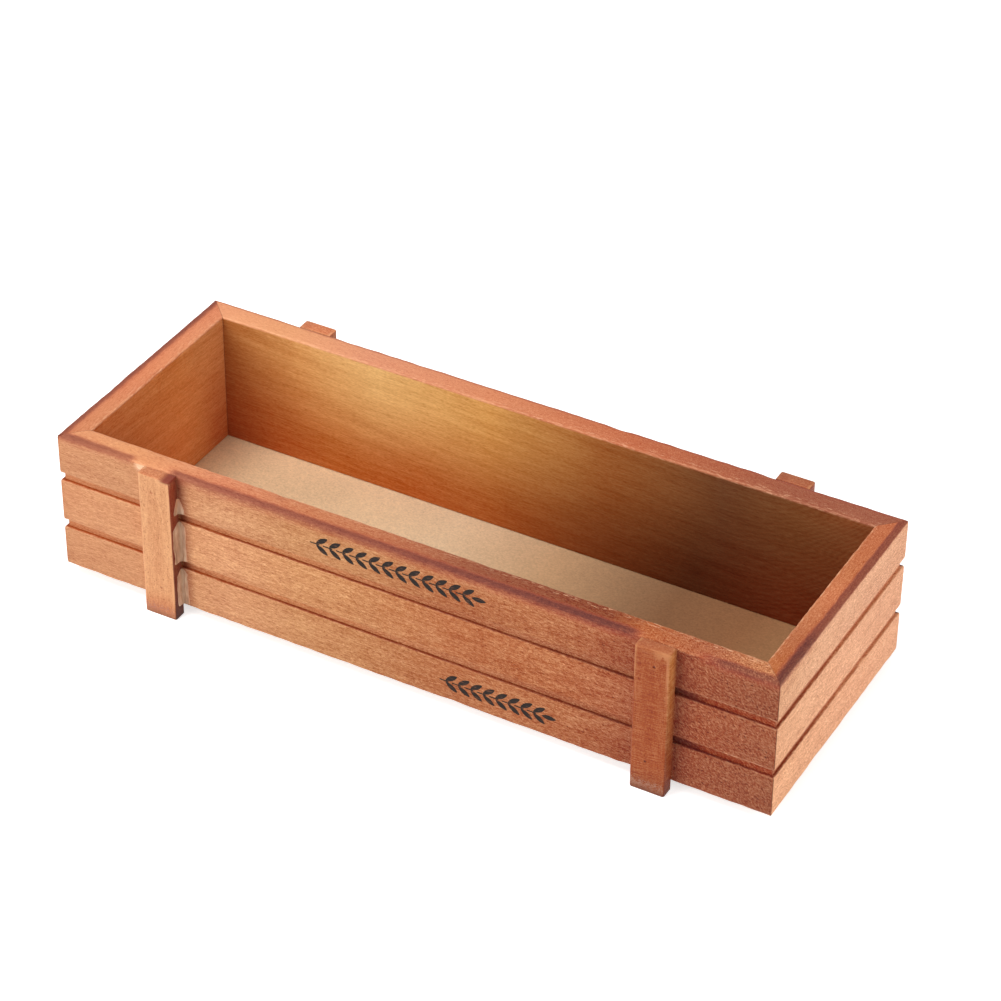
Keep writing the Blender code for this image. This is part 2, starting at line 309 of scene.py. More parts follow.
    # and fibres torn out along the kerfs' upper sides
    torn = add("MapRange", [over_kerf, 4.1, 3.7, 0.0, 1.0])
    past_top = add("MapRange", [over_kerf, 3.1, 3.3, 0.0, 1.0])
    for limit in (past_top, rubbed, not_inside, ramps["torn"]):
        torn = add("Math", [torn, limit], operation="MULTIPLY")
    worn = add("Math", [worn, torn], operation="MAXIMUM")

    # fine scratches on the rim beside its inner edge
    scored = add("Mapping", {"Vector": place, "Rotation": (0, 0, radians(7)), "Scale": (0.30, 2.3, 0.9)})
    scored = add("TexNoise", {"Vector": scored, "Scale": 1.0, "Detail": 2.0})
    scored = add("MapRange", [scored, 0.56, 0.66, 0.0, 1.0], interpolation_type="SMOOTHSTEP")
    inner_side = add("MapRange", [depth, 5.4, 8.2, 0.0, 1.0], interpolation_type="SMOOTHSTEP")
    for limit in (inner_side, on_rim, ramps["scratch"]):
        scored = add("Math", [scored, limit], operation="MULTIPLY")

    # the mitre's end grain drinks the stain and shows as a thin dark line
    to_mitre = add("Math", [along], operation="ABSOLUTE")
    to_mitre = add("Math", [TO_MM * length / 2, to_mitre], operation="SUBTRACT")
    to_mitre = add("Math", [to_mitre, depth], operation="SUBTRACT")
    mitre = add("MapRange", [to_mitre, 0.45, 0.10, 0.0, 0.3], interpolation_type="SMOOTHSTEP")

    for shown, layer in (
            (reddened, "A84A34"), (darkened, "5A241E"), (worn, "F2B88C"), (scored, "FAC096"),
            (mitre, "6E2E1A")):
        surface = add("Mix", {0: shown, 6: surface, 7: colour(layer)}, out=2, data_type="RGBA")
    fill(shader, {
        "Base Color": surface, "Roughness": add("MapRange", [tone, 0.6, 1.4, 0.72, 0.56]),
        "Specular IOR Level": 0.3,
        "Normal": add("Bump", {"Height": tone, "Strength": 0.5, "Distance": 0.0003})})
    return material


def add_object(name, bm, *materials):
    """Turns a bmesh into an object."""
    mesh = bpy.data.meshes.new(name)
    bm.to_mesh(mesh)
    bm.free()
    for material in materials:
        mesh.materials.append(material)
    made = bpy.data.objects.new(name, mesh)
    bpy.context.scene.collection.objects.link(made)
    return made


def add_piece(name, bm, material):
    """Turns a bmesh into a finished piece that is smooth across its rounded edges only."""
    bmesh.ops.recalc_face_normals(bm, faces=bm.faces)
    piece = add_object(name, bm, material)
    piece.data.shade_smooth()
    piece.data.set_sharp_from_angle(angle=SHARP_ANGLE)
    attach(piece, "root")
    return piece


def extrude(bm, faces, travel):
    """Extrudes faces into a closed body."""
    grown = bmesh.ops.extrude_face_region(bm, geom=faces, use_keep_orig=True)
    moved = [item for item in grown["geom"] if isinstance(item, bmesh.types.BMVert)]
    bmesh.ops.translate(bm, verts=moved, vec=travel)


def long_edges(bm, axis, shortest):
    """The edges that run along an axis for at least a length."""
    return [e for e in bm.edges if abs(e.verts[0].co[axis] - e.verts[1].co[axis]) > shortest]


def chip_depth(x, seed):
    """How much wood an edge has lost at a point along it: small nicks and a few large ones."""
    small = noise.noise(Vector((x / CHIP_PITCH, seed, 0.3)))
    large = noise.noise(Vector((x / LARGE_CHIP_PITCH, seed, 8.1)))
    return SMALL_CHIP * (0.5 + 0.5 * small) + LARGE_CHIP * max(0.0, large - LARGE_CHIP_FROM)


def board(node, length, across, quarter_turns, rim_round, slat_tones, stain):
    """A board in place of its plain solid: cut, rounded, chipped along its edges, and mitred."""
    kerfs = []
    for low in (UPPER_KERF_Z, LOWER_KERF_Z):
        high = low + KERF_WIDTH
        kerfs += [(0, high), (KERF_DEPTH, high), (KERF_DEPTH, low), (0, low)]
    section = [(0, EDGE_Z), (REBATE_DEPTH, EDGE_Z), (REBATE_DEPTH, REBATE_Z), (BOARD_THICKNESS, REBATE_Z)]
    section += [(BOARD_THICKNESS, RIM_Z), (0, RIM_Z)] + kerfs
    bm = bmesh.new()
    end = bm.faces.new([bm.verts.new((-length / 2, depth, height)) for depth, height in section])
    extrude(bm, [end], (length, 0, 0))
    arrises = [Arris(0, RIM_Z, (1, -1), rim_round)] + ARRISES
    for arris in arrises:
        lying = [e for e in bm.edges if all(
            abs(v.co.y - arris.depth) < TINY and abs(v.co.z - arris.height) < TINY for v in e.verts)]
        bmesh.ops.bevel(
            bm, geom=lying, offset=arris.ease, offset_type="OFFSET", segments=ROUND_STEPS,
            profile=0.5, affect="EDGES", material=-1)
        for step in (CREASE, WORN_BAND):
            outside = arris.height + arris.inward[1] * (arris.ease + step)
            behind = arris.depth + arris.inward[0] * (arris.ease + step)
            for spot, way in (((0, 0, outside), (0, 0, 1)), ((0, behind, 0), (0, 1, 0))):
                whole = bm.verts[:] + bm.edges[:] + bm.faces[:]
                bmesh.ops.bisect_plane(bm, geom=whole, dist=TINY, plane_co=spot, plane_no=way)
    stations = round(length / STATION_STEP)
    bmesh.ops.subdivide_edges(
        bm, edges=long_edges(bm, 0, length / 2), cuts=stations - 1, use_grid_fill=True)

    worn = bm.verts.layers.float.new("arris")
    for vert in bm.verts:
        for number, arris in enumerate(arrises):
            away = (Vector((vert.co.y, vert.co.z)) - Vector((arris.depth, arris.height))).length
            near = min(1.0, max(0.0, 1.0 - (away - arris.ease) / WORN_BAND))
            if near > 0:
                vert[worn] = max(vert[worn], near)
                loss = near * chip_depth(vert.co.x, BOARD_SEED * quarter_turns + ARRIS_SEED * number)
                vert.co.y += arris.inward[0] * loss
                vert.co.z += arris.inward[1] * loss
    for vert in bm.verts:
        reach = length / 2 - vert.co.y - MITRE_GAP
        if vert.co.y < TINY + MITRE_TIP_EASE:
            reach -= MITRE_TIP_EASE
        vert.co.x *= reach / (length / 2)
        vert.co.y -= across / 2
    turn = Matrix.Rotation(quarter_turns * pi / 2, 3, "Z")
    bmesh.ops.rotate(bm, verts=bm.verts, cent=(0, 0, 0), matrix=turn)
    wood = stained_beech(f"{node} stained beech", length, across, quarter_turns, slat_tones, stain)
    piece = add_piece(f"{node}_wood", bm, wood)
    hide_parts(node)
    return piece


front_board = board("front_board", BOX_LENGTH, BOX_WIDTH, 0, WORN_RIM_ROUND, (0.92, 1.0, 0.93), Stain(
    # the slats darken towards the right end, partly a real stain and partly painted shade
    outer=[(-150, "CB8C62"), (-115, "D09367"), (-75, "D19468"), (-45, "C68A5A"), (-20, "C08252"),
           (20, "B26A3E"), (60, "B36A3F"), (85, "A95C36"), (100, "9F4F2D"), (150, "964E2E")],
    # the rim's dark stretch from about 20 to 85 mm right of the middle is painted shadow
    rim=[(-150, "D68C62"), (-120, "DF9766"), (-80, "D6865F"), (-40, "C57A51"), (0, "B06542"),
         (22, "985334"), (45, "8C4628"), (82, "88401C"), (96, "B66436"), (122, "B26540"), (150, "CE8656")],
    # the kerfs and their lower sides are darkest just right of each batten: painted shadow
    kerf=[(-150, "C87E52"), (-97, "C07A50"), (-96, "743012"), (-90, "B87048"), (-60, "C98253"),
          (60, "B36B47"), (100, "A85C3A"), (110, "5E1802"), (117, "641C02"), (123, "92360E"),
          (150, "A44826")],
    ledge=[(-150, "A44E1E"), (-97, "A6501E"), (-96, "76280A"), (-90, "9A4A1C"), (-60, "8A3E18"),
           (60, "7E320C"), (105, "6E240A"), (118, "661604"), (150, "7E2A0C")],
    inner_top=[(-150, "B8683A"), (150, "8A4A2A")],
    inner_foot=[(-150, "A4522A"), (150, "6E3218")],
    burn=[(-150, 0.75), (-118, 0.62), (-114, 0.0), (-102, 0.0), (-98, 0.70), (-5, 0.80), (40, 0.9),
          (80, 1.0), (92, 0.9), (98, 0.0), (116, 0.0), (128, 0.82), (150, 0.8)],
    burn_top=[(-150, 4.8), (-20, 4.2), (150, 4.2)],
    burn_core=[(-150, 0.40), (150, 0.36)],
    burn_edge=[(-150, 0.75), (150, 0.85)],
    burn_face=[(-150, 4.0), (-125, 3.0), (-98, 5.0), (60, 5.0), (150, 4.6)],
    grain=[(-150, 1.0), (-112, 1.0), (-85, 1.3), (-30, 1.45), (66, 2.1), (92, 2.1), (112, 1.4), (150, 1.2)],
    fuzz=[(-150, 0.04), (-100, 0.06), (-20, 0.16), (50, 0.30), (95, 0.40), (111, 0.85), (150, 1.0)],
    scratch=[(-150, 0.25), (30, 0.40), (75, 0.9), (150, 1.0)],
    worn=[(-150, 0.4), (-40, 0.35), (20, 0.25), (60, 0.15), (125, 0.15), (133, 0.4), (150, 0.4)],
    torn=[(-150, 0.0), (112, 0.0), (128, 0.6), (150, 0.8)],
    # painted shade on the board just right of each batten
    pooled=[(-150, 0.0), (-96.7, 0.0), (-96.5, 0.9), (-94, 0.6), (-90.5, 0.0), (110.3, 0.0), (110.5, 0.6),
            (115, 0.45), (120, 0.0), (150, 0.0)],
    bare=[(-150, 0.0), (-115.5, 0.0), (-113.5, 0.8), (-110, 0.8), (-108, 0.0), (150, 0.0)]))

right_board = board("right_end_board", BOX_WIDTH, BOX_LENGTH, 1, WORN_RIM_ROUND, (1.07, 1.0, 0.92), Stain(
    outer=[(-54, "E6A77C"), (-30, "EAAC82"), (0, "EFAF86"), (54, "EFAD84")],
    rim=[(-54, "BE6E3C"), (-30, "B16239"), (-15, "C07147"), (0, "CB774C"), (15, "C06E42"), (54, "C06A42")],
    kerf=[(-54, "B86C4A"), (-20, "C07454"), (0, "D08460"), (54, "D48A64")],
    ledge=[(-54, "8B3C1C"), (-36, "984A2A"), (-18, "B46A46"), (0, "C68058"), (54, "CC8860")],
    inner_top=[(-54, "7E4224"), (54, "8A4A2A")],
    inner_foot=[(-54, "6A3016"), (54, "6A3016")],
    burn=[(-54, 1.05), (-30, 1.0), (-20, 0.80), (54, 0.78)],
    burn_top=[(-54, 5.0), (-30, 4.6), (-18, 3.8), (54, 3.5)],
    burn_core=[(-54, 0.40), (-30, 0.50), (-18, 0.62), (54, 0.70)],
    burn_edge=[(-54, 0.95), (-30, 0.85), (-20, 0.45), (54, 0.30)],
    burn_face=[(-54, 2.8), (-30, 2.4), (-20, 2.0), (54, 1.2)],
    grain=[(-54, 1.15), (54, 0.95)],
    fuzz=[(-54, 0.40), (54, 0.34)],
    scratch=[(-54, 0.45), (-22, 0.15), (54, 0.2)],
    worn=[(-54, 0.8), (54, 0.8)]))

back_board = board("back_board", BOX_LENGTH, BOX_WIDTH, 2, SHARP_RIM_ROUND, (0.93, 1.0, 0.95), Stain(
    outer=[(-150, "A85A3A"), (0, "C07046"), (150, "D48C5E")],
    rim=[(-150, "9B563C"), (-105, "9B5439"), (-40, "C06A44"), (20, "D5855C"), (75, "DE946F"),
         (115, "E7A171"), (150, "E79C72")],
    kerf=[(-150, "7C3C20"), (150, "A25E34")],
    ledge=[(-150, "642A10"), (150, "8A3E18")],
    # painted shadow: the inside is darkest towards the box's right end, the start of these lists, and darker
    # in the corner at their end
    inner_top=[(-150, "914E26"), (-110, "7A461F"), (-80, "6C3E1E"), (-30, "A2602C"), (20, "DCA058"),
               (70, "ECBC78"), (105, "D89A5A"), (130, "B8773F"), (150, "A4602F")],
    inner_foot=[(-150, "7A3014"), (-110, "823615"), (-70, "622E11"), (-20, "924A1C"), (20, "BC662B"),
                (50, "C96D31"), (90, "C97131"), (115, "BC6129"), (150, "A04E2C")],
    burn=[(-150, 0.45), (-50, 0.4), (150, 0.4)],
    burn_top=[(-150, 2.2), (150, 1.8)],
    burn_core=[(-150, 0.4), (150, 0.4)],
    burn_edge=[(-150, 0.7), (150, 0.7)],
    burn_face=[(-150, 1.0), (150, 0.8)],
    grain=[(-150, 0.9), (150, 0.6)],
    fuzz=[(-150, 0.4), (150, 0.05)],
    scratch=[(-150, 0.5), (150, 0.25)],
    worn=[(-150, 0.3), (150, 0.5)],
    rings=[(-150, 0.06), (-90, 0.05), (-50, 0.02), (150, 0.02)]))

left_board = board("left_end_board", BOX_WIDTH, BOX_LENGTH, 3, SHARP_RIM_ROUND, (0.95, 1.0, 0.95), Stain(
    outer=[(-54, "CC8154"), (54, "D08D62")],
    rim=[(-54, "DA865E"), (-30, "DB8A61"), (0, "D8845A"), (15, "D17E56"), (30, "D3865C"), (54, "CC8057")],
    kerf=[(-54, "B0683A"), (54, "BC703C")],
    ledge=[(-54, "8A3A16"), (54, "8A3A16")],
    inner_top=[(-54, "CC8450"), (-30, "D28750"), (-13, "D48145"), (54, "C66C3A")],
    inner_foot=[(-54, "A85428"), (-37, "B65F30"), (-25, "CA783F"), (-13, "D57C42"), (54, "B85528")],
    burn=[(-54, 0.86), (54, 0.80)],
    burn_top=[(-54, 4.4), (54, 4.4)],
    burn_core=[(-54, 0.24), (54, 0.24)],
    burn_edge=[(-54, 0.8), (54, 0.8)],
    burn_face=[(-54, 1.2), (54, 1.2)],
    grain=[(-54, 0.8), (54, 0.8)],
    fuzz=[(-54, 0.05), (54, 0.05)],
    scratch=[(-54, 0.35), (54, 0.35)],
    worn=[(-54, 0.5), (54, 0.5)]))


# Bottom panel. Thin raw fibreboard, let into the boards' rebate and left unstained. It shows short
# pressed fibres and no grain. Its top is darker from the middle to the right, which is painted shadow.

def raw_fibreboard():
    """Raw fibreboard: dull, tan, matted with fine short fibres that lie every way."""
    material, add, shader = start_material("raw fibreboard")
    place = add("Mapping", {"Vector": add("TexCoord", {}, out="Object"), "Scale": (TO_MM, TO_MM, TO_MM)})
    along, _, height = add("SeparateXYZ", [place]).node.outputs
    share = add("MapRange", [along, -TO_MM * BOX_LENGTH / 2, TO_MM * BOX_LENGTH / 2, 0.0, 1.0])
    # painted shadow: the top darkens from the middle to the right
    surface = add("ValToRGB", [share], stops=[
        (0.0, "E0BE94"), (0.15, "E6C79D"), (0.40, "E6CAA4"), (0.55, "CDA67C"), (0.72, "9A6C47"),
        (0.82, "A9744A"), (0.90, "B8875A"), (1.0, "B08054")])
    under = add("MapRange", [height, 5.6, 4.6, 0.0, 1.0])
    surface = add("Mix", {0: under, 6: surface, 7: colour("D6B488")}, out=2, data_type="RGBA")
    tone = wood_tone(add, place, [
        ((34.0, 30.0, 30.0), 0, (0.3, 0.7), (-0.05, 0.05)),
        ((3.2, 3.0, 3.0), 0, (0.3, 0.7), (-0.03, 0.03)),
        ((0.9, 0.7, 0.9), 0, (0.3, 0.7), (-0.11, 0.11)),
        ((0.7, 1.3, 0.9), 0, (0.60, 0.72), (0.0, -0.14)),
    ], 1.0)
    fill(shader, {
        "Base Color": add("HueSaturation", {"Color": surface, "Value": tone}), "Roughness": 0.85,
        "Normal": add("Bump", {"Height": tone, "Strength": 0.4, "Distance": 0.0003})})
    return material


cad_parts["bottom_panel"].material_slots[0].material = raw_fibreboard()


# Battens. Four upright beech strips with rounded front edges, glued and pinned over the boards,
# flush with the rim and reaching a little below the boards, where they are the feet.

BATTEN_X = 0.1035
BATTEN_WIDTH = 0.0140
BATTEN_FACE_Y = 0.0598
BATTEN_BACK_Y = 0.05455
BATTEN_ROUND = 0.0009
BATTEN_ROUND_STEPS = 5
BATTEN_END_ROUND = 0.0004
BATTEN_END_STEPS = 2
BATTEN_STATIONS = 50
BATTEN_WEAR = 0.00012
WEAR_WIDTH = 0.0022
WEAR_LENGTH = 0.0060

# A batten's colours: its face, its right side and its left side, each above and at the foot where
# it differs, its rubbed edge, top and dusty foot. Then the height in mm above which its edges are
# rubbed, how much its upper edge is, how much its top's right end is singed, and how strongly its
# grain and the sanding across it show.
BattenStain = namedtuple(
    "BattenStain",
    "face face_low side side_low left_side edge top foot rubbed_from rubbed_top singe grain sanding")
BATTEN_GRAIN = [
    ((5.0, 6.0, 60.0), 0, (0.25, 0.75), (-0.08, 0.08)),
    ((1.6, 1.8, 14.0), 0, (0.25, 0.75), (-0.09, 0.09)),
    ((0.5, 0.8, 3.0), 0, (0.25, 0.75), (-0.12, 0.12)),
    ((0.9, 0.9, 0.45), 12, (0.25, 0.75), (-0.12, 0.12)),
    ((0.45, 0.9, 0.9), 0, (0.60, 0.70), (0.0, -0.34)),
]
# Where a batten's face was sanded across its grain
CROSS_SANDING = [
    ((6.0, 6.0, 0.30), 3, (0.25, 0.75), (-0.21, 0.21)),
    ((0.6, 0.6, 0.35), 0, (0.25, 0.75), (-0.13, 0.13)),
]


def stained_batten(name, side_x, side_y, stain):
    """Oil-stained beech on edge: satin, upright fine grain, speckled end grain, rubbed edges."""
    material, add, shader = start_material(name)

    # seen from outside, in mm: x to the right of the batten's middle line, y away behind its face
    centred = add("Mapping", {
        "Vector": add("TexCoord", {}, out="Object"), "Location": (-TO_MM * side_x * BATTEN_X, 0, 0),
        "Scale": (TO_MM, TO_MM, TO_MM)})
    place = add("Mapping", {"Vector": centred, "Rotation": (0, 0, 0 if side_y < 0 else pi)})
    sideways, deep, height = add("SeparateXYZ", [place]).node.outputs
    behind = add("Math", [deep, TO_MM * BATTEN_FACE_Y], operation="ADD")
    upward = add("SeparateXYZ", [add("NewGeometry", {}, out="Normal")], out=2)

    # face and sides, which darken towards the foot and towards the board; the sides' darkening towards the
    # board is painted shade
    rise = add("MapRange", [height, 2.0, 14.0, 0.0, 1.0], interpolation_type="SMOOTHSTEP")
    surface = add("Mix", {0: rise, 6: colour(stain.face_low), 7: colour(stain.face)}, out=2, data_type="RGBA")
    rise = add("MapRange", [height, 5.0, 60.0, 0.0, 1.0])
    side = add("Mix", {0: rise, 6: colour(stain.side_low), 7: colour(stain.side)}, out=2, data_type="RGBA")
    shaded = add("MapRange", [behind, 2.2, 5.0, 0.0, 0.6], interpolation_type="SMOOTHSTEP")
    side = add("Mix", {0: shaded, 6: side, 7: colour(stain.side_low)}, out=2, data_type="RGBA")
    on_right = add("MapRange", [sideways, 6.4, 6.8, 0.0, 1.0], interpolation_type="SMOOTHSTEP")
    on_left = add("MapRange", [sideways, -6.3, -6.9, 0.0, 1.0], interpolation_type="SMOOTHSTEP")
    tone = wood_tone(add, place, BATTEN_GRAIN, stain.grain)
    tone = wood_tone(add, place, CROSS_SANDING, stain.sanding, tone)

    # end grain, finely pored, on the top and the foot
    pores = add("Mapping", {"Vector": place, "Scale": (1.5, 2.4, 1.5)})
    pores = add("TexNoise", {"Vector": pores, "Scale": 1.0, "Detail": 3.0})
    on_end = add("Math", [upward], operation="ABSOLUTE")
    on_end = add("MapRange", [on_end, 0.6, 0.9, 0.0, 1.0], interpolation_type="SMOOTHSTEP")
    tone = add("Mix", {0: on_end, 2: tone, 3: add("MapRange", [pores, 0.30, 0.70, 0.78, 1.22])})
    for shown, layer in (
            (on_right, side), (on_left, colour(stain.left_side)), (on_end, colour(stain.top))):
        surface = add("Mix", {0: shown, 6: surface, 7: layer}, out=2, data_type="RGBA")
    surface = tint(add, surface, tone)

    # rubbed front edges, the upper one unevenly far down the face, and a singed upper right corner
    rubbed = add("Mapping", {"Vector": place, "Scale": (0.9, 0.9, 0.12)})
    rubbed = add("TexNoise", {"Vector": rubbed, "Scale": 1.0, "Detail": 3.0})
    rubbed = add("MapRange", [rubbed, 0.36, 0.62, 0.10, 0.70], interpolation_type="SMOOTHSTEP")
    from_middle = add("Math", [sideways], operation="ABSOLUTE")
    edge = add("MapRange", [from_middle, 5.2, 6.4, 0.0, 1.0], interpolation_type="SMOOTHSTEP")
    on_face = add("MapRange", [from_middle, 6.8, 6.6, 0.0, 1.0], interpolation_type="SMOOTHSTEP")
    high = add("MapRange", [height, stain.rubbed_from, stain.rubbed_from + 8.0, 0.0, 1.0])
    for limit in (rubbed, on_face, high):
        edge = add("Math", [edge, limit], operation="MULTIPLY")
    worn_down = add("MapRange", [rubbed, 0.10, 0.70, 62.6, 59.6])
    at_top = add("MapRange", [
        height, worn_down, 63.0, 0.0, stain.rubbed_top], interpolation_type="SMOOTHSTEP")
    for way, start, end in ((behind, 1.5, 0.7), (sideways, -1.0, 4.5)):
        there = add("MapRange", [way, start, end, 0.15, 1.0])
        at_top = add("Math", [at_top, there], operation="MULTIPLY")
    edge = add("Math", [edge, at_top], operation="MAXIMUM")
    singed = add("MapRange", [sideways, 1.4, 4.9, 0.0, stain.singe], interpolation_type="SMOOTHSTEP")
    high = add("MapRange", [height, 62.6, 63.9, 0.0, 1.0], interpolation_type="SMOOTHSTEP")
    singed = add("Math", [singed, high], operation="MULTIPLY")

    # dust in the grain of the foot
    specks = add("Mapping", {"Vector": place, "Scale": (1.6, 1.6, 2.4)})
    specks = add("TexNoise", {"Vector": specks, "Scale": 1.0, "Detail": 3.0})
    low = add("Math", [height, add("MapRange", [specks, 0.3, 0.7, -1.8, 1.8])], operation="ADD")
    dusty = add("MapRange", [low, 5.4, 3.0, 0.0, 0.85], interpolation_type="SMOOTHSTEP")
    for limit, start, end, least, most in (
            (specks, 0.38, 0.62, 1.0, 0.15), (on_right, 0.0, 1.0, 1.0, 0.0), (height, 0.8, 3.0, 0.25, 1.0)):
        limit = add("MapRange", [limit, start, end, least, most])
        dusty = add("Math", [dusty, limit], operation="MULTIPLY")
    for shown, layer in ((edge, stain.edge), (singed, "80301E"), (dusty, stain.foot)):
        surface = add("Mix", {0: shown, 6: surface, 7: colour(layer)}, out=2, data_type="RGBA")

    # painted shade at the very bottom, where the batten stands on the floor, and higher up on the right side
    foot_shade = add("MapRange", [height, 0.0, 2.8, 0.55, 1.0])
    side_foot_shade = add("Math", [on_right, add("MapRange", [height, 9.0, 4.0, 0.0, 1.0])], operation="MULTIPLY")
    foot_shade = add("Math", [foot_shade, add("MapRange", [side_foot_shade, 0.0, 1.0, 1.0, 0.72])], operation="MULTIPLY")
    surface = add("HueSaturation", {
        "Color": surface, "Value": foot_shade, "Saturation": add("MapRange", [side_foot_shade, 0.0, 1.0, 1.0, 1.12])})
    fill(shader, {
        "Base Color": surface, "Roughness": 0.58, "Specular IOR Level": 0.3,
        "Normal": add("Bump", {"Height": tone, "Strength": 0.5, "Distance": 0.0003})})
    return material


def batten(node, side_x, side_y, stain):
    """A batten in place of its plain solid, with rounded and slightly worn front edges."""
    depth = BATTEN_FACE_Y - BATTEN_BACK_Y
    middle_y = (BATTEN_FACE_Y + BATTEN_BACK_Y) / 2
    seed = side_x * 3.1 + side_y
    bm = bmesh.new()
    bmesh.ops.create_cube(bm, size=1.0)
    bmesh.ops.scale(bm, vec=(BATTEN_WIDTH, depth, RIM_Z), verts=bm.verts)
    bmesh.ops.translate(bm, vec=(0, 0, RIM_Z / 2), verts=bm.verts)
    front = [e for e in long_edges(bm, 2, RIM_Z / 2) if e.verts[0].co.y < 0]
    bmesh.ops.bevel(
        bm, geom=front, offset=BATTEN_ROUND, offset_type="OFFSET", segments=BATTEN_ROUND_STEPS,
        profile=0.5, affect="EDGES", material=-1)
    ends = [e for e in bm.edges if abs(e.verts[0].co.z - e.verts[1].co.z) < TINY]
    bmesh.ops.bevel(
        bm, geom=ends, offset=BATTEN_END_ROUND, offset_type="OFFSET", segments=BATTEN_END_STEPS,
        profile=0.5, affect="EDGES", material=-1)
    bmesh.ops.subdivide_edges(
        bm, edges=long_edges(bm, 2, RIM_Z / 2), cuts=BATTEN_STATIONS, use_grid_fill=True)
    for vert in bm.verts:
        if vert.co.y < TINY:
            spot = Vector((vert.co.x / WEAR_WIDTH, seed, vert.co.z / WEAR_LENGTH))
            worn = BATTEN_WEAR * (0.5 + 0.5 * noise.noise(spot))
            vert.co.y += worn
            vert.co.x -= worn * vert.co.x / BATTEN_WIDTH
    turn = Matrix.Rotation(0 if side_y < 0 else pi, 3, "Z")
    bmesh.ops.rotate(bm, verts=bm.verts, cent=(0, 0, 0), matrix=turn)
    bmesh.ops.translate(bm, vec=(side_x * BATTEN_X, side_y * middle_y, 0), verts=bm.verts)
    wood = stained_batten(f"{node} stained beech", side_x, side_y, stain)
    piece = add_piece(f"{node}_wood", bm, wood)
    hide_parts(node)
    return piece


battens = [
    batten("front_left_batten", -1, -1, BattenStain(
        face="D4986A", face_low="C07A50", side="8A3E24", side_low="5A2614", left_side="DA925E",
        edge="E8AC7C", top="CC7F54", foot="A8705C", rubbed_from=0.0,
        rubbed_top=0.2, singe=0.95, grain=0.9, sanding=0.0)),
    batten("front_right_batten", 1, -1, BattenStain(
        face="9E4E22", face_low="90461F", side="BA7640", side_low="80381A", left_side="A05030",
        edge="C88656", top="AE6038", foot="A47A64", rubbed_from=40.0,
        rubbed_top=0.7, singe=0.0, grain=0.8, sanding=1.5)),
    batten("back_left_batten", -1, 1, BattenStain(
        face="CE8A5C", face_low="B87048", side="B87048", side_low="8A4A2C", left_side="B66A40",
        edge="E0A074", top="D07C52", foot="B08470", rubbed_from=0.0,
        rubbed_top=0.3, singe=0.2, grain=0.9, sanding=0.2)),
    batten("back_right_batten", 1, 1, BattenStain(
        face="AE5E3A", face_low="9A4E2E", side="A65C38", side_low="743A22", left_side="A05030",
        edge="C8885C", top="A85E3C", foot="A87C68", rubbed_from=30.0,
        rubbed_top=0.4, singe=0.3, grain=0.9, sanding=0.4)),
]


# Pins. Bare steel, headless through the battens and across the mitres, headed up through the
# bottom panel. Their holes go through the wood that they are driven into.

HOLE_CLEARANCE = 0.00006
HOLE_RUN_OUT = 0.0009
HOLE_SIDES = 20
PANEL_HOLE_RADIUS = 0.00066
# between these distances from the box's middle, a batten pin's steel gives way to its cover
COVER_FROM = BATTEN_FACE_Y - 0.0014
COVER_TO = BATTEN_FACE_Y - 0.0010


def steel_wire(name, cover=None):
    """Drawn steel wire: dark grey, half dull, browned and spotted with rust. Its end on a batten's
    face is sunk, and stain or filler covers it."""
    material, add, shader = start_material(name)
    place = add("TexCoord", {}, out="Object")
    spots = add("TexNoise", {"Vector": place, "Scale": 2500.0, "Detail": 2.0})
    surface = add("ValToRGB", [spots], stops=[(0.35, "5E4A3E"), (0.55, "483629"), (0.72, "4E2E1E")])
    metallic = 1.0
    if cover:
        outwards = add("Math", [add("SeparateXYZ", [place], out=1)], operation="ABSOLUTE")
        covered = add("MapRange", [outwards, COVER_FROM, COVER_TO, 0.0, 1.0])
        surface = add("Mix", {0: covered, 6: surface, 7: colour(cover)}, out=2, data_type="RGBA")
        metallic = add("MapRange", [covered, 0.0, 1.0, 1.0, 0.0])
    fill(shader, {
        "Base Color": surface, "Metallic": metallic,
        "Roughness": add("MapRange", [spots, 0.35, 0.70, 0.50, 0.75]),
        "Normal": add("Bump", {"Height": spots, "Strength": 0.3, "Distance": 0.00005})})
    return material


def drill(pieces, pins):
    """Cuts the pins' holes in the pieces. A hole runs out past the pin's head, away from the box."""
    bm = bmesh.new()
    for pin in pins:
        low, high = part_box(pin)
        size = high - low
        axis = max(range(3), key=lambda i: size[i])
        radius = PANEL_HOLE_RADIUS if "panel" in pin else min(size) / 2 + HOLE_CLEARANCE
        middle = (low + high) / 2
        outward = -1 if axis == 2 or middle[axis] < 0 else 1
        middle[axis] += outward * HOLE_RUN_OUT / 2
        way = Vector([1 if i == axis else 0 for i in range(3)])
        bmesh.ops.create_cone(
            bm, cap_ends=True, segments=HOLE_SIDES, radius1=radius, radius2=radius,
            depth=size[axis] + HOLE_RUN_OUT,
            matrix=Matrix.LocRotScale(middle, way.to_track_quat("Z", "Y"), None))
    cutter = add_object("pin_holes", bm)
    for piece in pieces:
        cut = piece.modifiers.new("pin holes", "BOOLEAN")
        cut.operation = "DIFFERENCE"
        cut.solver = "EXACT"
        cut.object = cutter
        drilled = piece.evaluated_get(bpy.context.evaluated_depsgraph_get())
        new_mesh = bpy.data.meshes.new_from_object(drilled)
        piece.modifiers.clear()
        piece.data = new_mesh
    bpy.data.objects.remove(cutter)


pins = sorted(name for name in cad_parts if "_pin_" in name)
drill([front_board, right_board, back_board, left_board] + battens, pins)
bare_steel = steel_wire("bare steel wire")
stained_steel = steel_wire("steel wire under stain", "6A2410")
filled_steel = steel_wire("steel wire under filler", "D0946A")
for pin in pins:
    steel = bare_steel
    if "batten_pin" in pin:
        steel = filled_steel if "front_left" in pin else stained_steel
    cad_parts[pin].material_slots[0].material = steel


